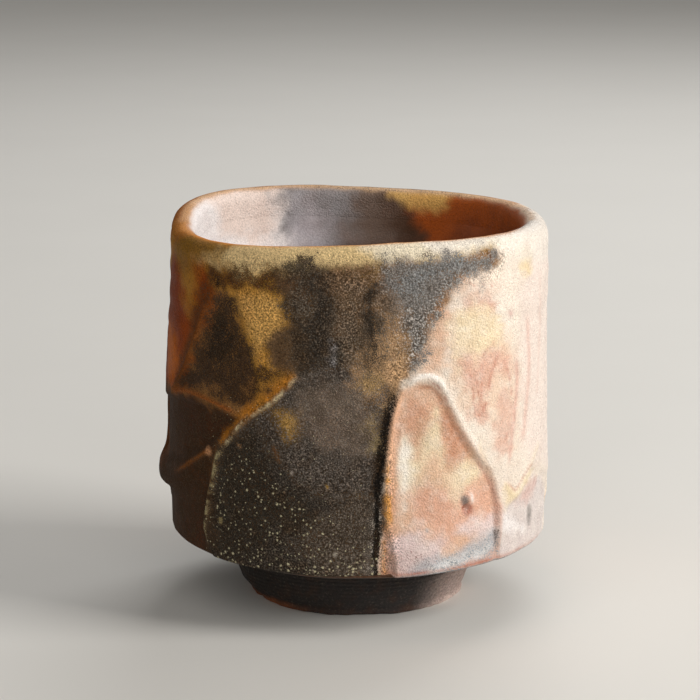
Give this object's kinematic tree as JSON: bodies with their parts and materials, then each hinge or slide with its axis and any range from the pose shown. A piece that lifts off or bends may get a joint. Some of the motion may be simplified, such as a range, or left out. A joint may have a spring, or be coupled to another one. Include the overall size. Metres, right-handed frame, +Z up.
{
  "type": "yunomi tea cup",
  "caption": "Hand-thrown stoneware tea cup of soft square plan with a knife-carved lower wall, a turned foot ring and no handle, for drinking green tea.",
  "frame": {"origin": "on the table under the middle of the foot ring", "axes": "+Z up through the mouth; -Y is the carved front with the two tall arches; +X is the viewer's right of that front"},
  "size_m": [0.0839, 0.0806, 0.0828],
  "materials": {
    "clay_body": "fired stoneware body, coarse and matt",
    "bare_foot_clay": "bare fired clay, dark and dry with an orange flash",
    "liner_glaze": "satin glaze, grey-lavender to rust",
    "ash_glaze": "sandy satin ash glaze, charcoal to ochre and peach"
  },
  "bodies": {
    "root": {"cup_wall": "clay_body", "base_disc": "clay_body", "foot_ring": "bare_foot_clay", "inner_glaze": "liner_glaze", "outer_glaze": "ash_glaze"}
  },
  "joints": []
}
